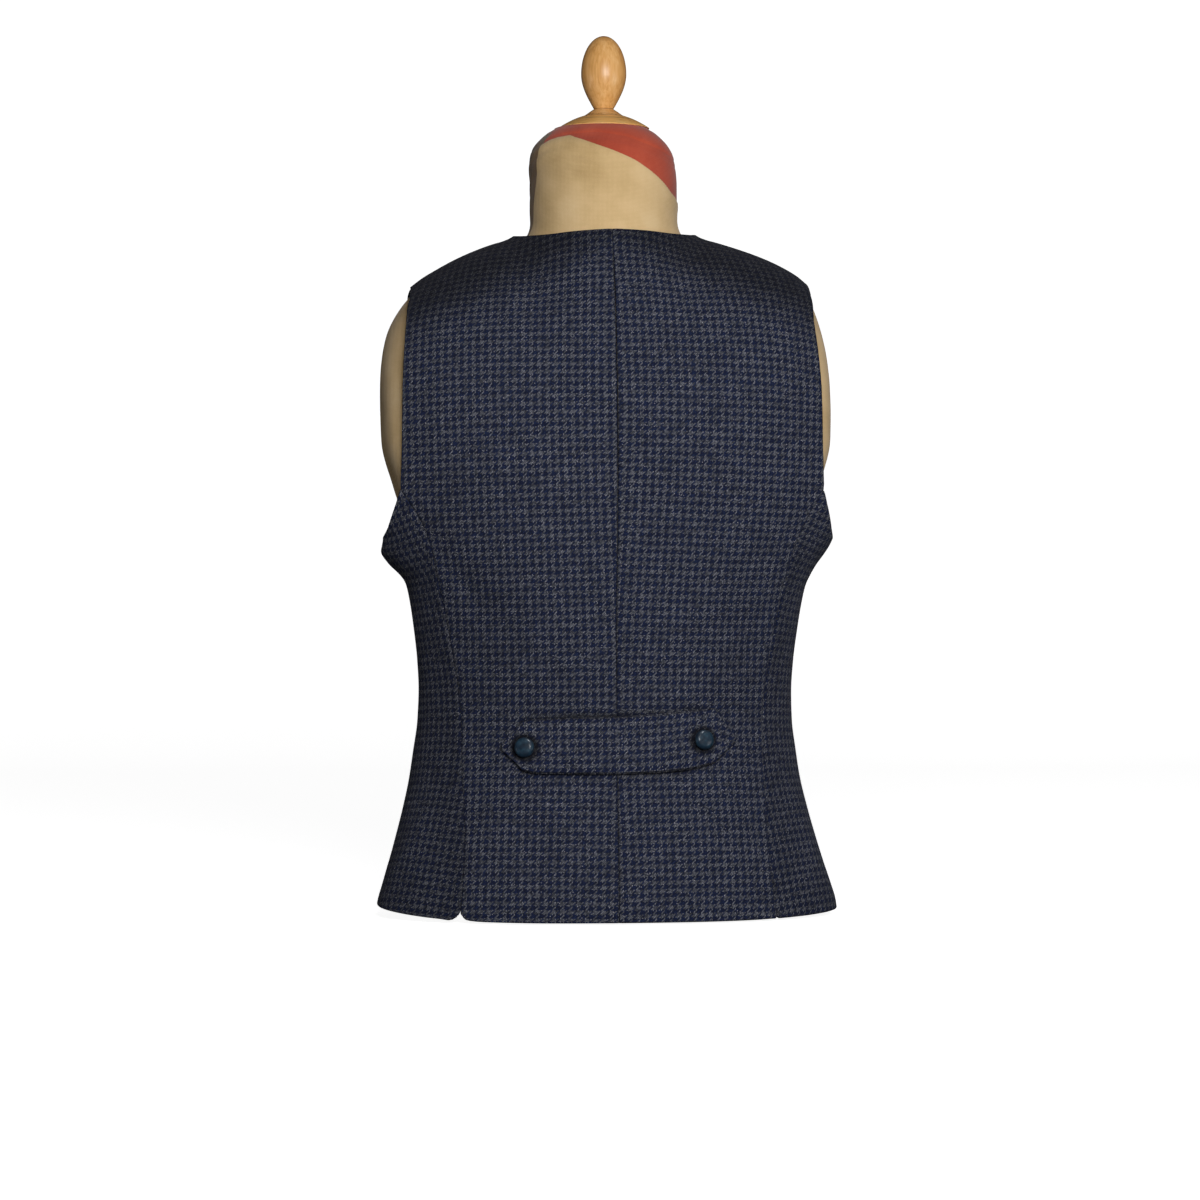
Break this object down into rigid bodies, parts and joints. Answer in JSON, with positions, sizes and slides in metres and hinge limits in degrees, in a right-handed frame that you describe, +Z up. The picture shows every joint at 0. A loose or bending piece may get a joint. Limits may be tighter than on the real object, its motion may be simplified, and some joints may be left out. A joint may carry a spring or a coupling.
{
  "type": "waistcoat on a dress form",
  "caption": "Women's tweed suit waistcoat with a buttoned half belt across the back, worn by a limbless dress form with a wooden neck cap and finial.",
  "frame": {"origin": "centre of the dress form's flat base, on the floor that it stands on", "axes": "+Z up, the garment's front faces -Y, its back with the half belt faces +Y, the wearer's left is +X"},
  "size_m": [0.3492, 0.2633, 0.6731],
  "materials": {
    "tweed": "matte",
    "button_leather": "satin",
    "form_cloth": "matte",
    "cap_wood": "satin",
    "finial_wood": "satin"
  },
  "bodies": {
    "root": {"back_centre_left": "tweed", "back_centre_right": "tweed", "side_back_left": "tweed", "side_back_right": "tweed", "front_left": "tweed", "front_right": "tweed", "half_belt": "tweed", "belt_button_left": "button_leather", "belt_button_right": "button_leather", "front_button_1": "button_leather", "front_button_2": "button_leather", "front_button_3": "button_leather", "front_button_4": "button_leather", "front_button_5": "button_leather", "form_torso": "form_cloth", "form_neck_cap": "cap_wood", "form_finial": "finial_wood"}
  },
  "joints": []
}
